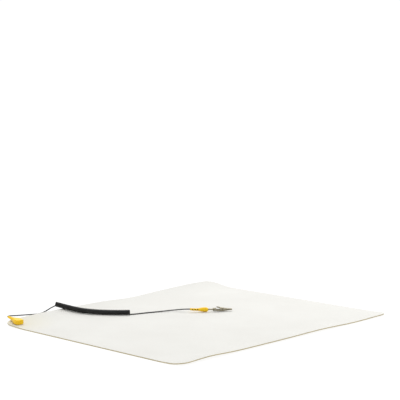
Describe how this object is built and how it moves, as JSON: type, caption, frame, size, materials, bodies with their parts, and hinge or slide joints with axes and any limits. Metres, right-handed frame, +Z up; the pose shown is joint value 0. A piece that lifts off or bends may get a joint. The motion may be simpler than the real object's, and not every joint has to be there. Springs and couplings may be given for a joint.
{
  "type": "anti static bench mat",
  "caption": "Thin dissipative bench mat with rounded corners, a snap stud, and a coiled ground lead with an alligator clip.",
  "frame": {"origin": "middle of the mat's underside, on the surface it lies on", "axes": "+X along the mat's 600 mm side, +Y along its 500 mm side towards the curled long edge with the snap at its left end, +Z up"},
  "size_m": [0.6, 0.5176, 0.0247],
  "materials": {
    "mat_sheet": "fine matt grain, tan cut edge",
    "snap_metal": "nickel plated",
    "yellow_moulding": "soft moulded, satin",
    "black_cord": "satin cord jacket",
    "clip_metal": "plated, slightly tarnished"
  },
  "bodies": {
    "root": {"mat": "mat_sheet", "snap_stud": "snap_metal", "snap_rivet": "snap_metal", "snap_socket": "snap_metal", "snap_housing": "yellow_moulding", "snap_wire": "black_cord", "coil_cord": "black_cord", "clip_wire": "black_cord", "plug_boot": "yellow_moulding", "plug_pin": "clip_metal", "clip_lower_jaw": "clip_metal", "clip_pivot": "clip_metal", "clip_spring": "clip_metal"},
    "clip_jaw": {"clip_upper_jaw": "clip_metal"}
  },
  "joints": [
    {"name": "clip_hinge", "type": "hinge", "parent": "root", "child": "clip_jaw", "pos_m": [0.086, 0.01757, 0.00716], "axis": [-0.6034, -0.7974, 0], "range_deg": [0, 16], "stiffness_Nm_per_rad": 0.12, "springref_deg": -20.05}
  ]
}
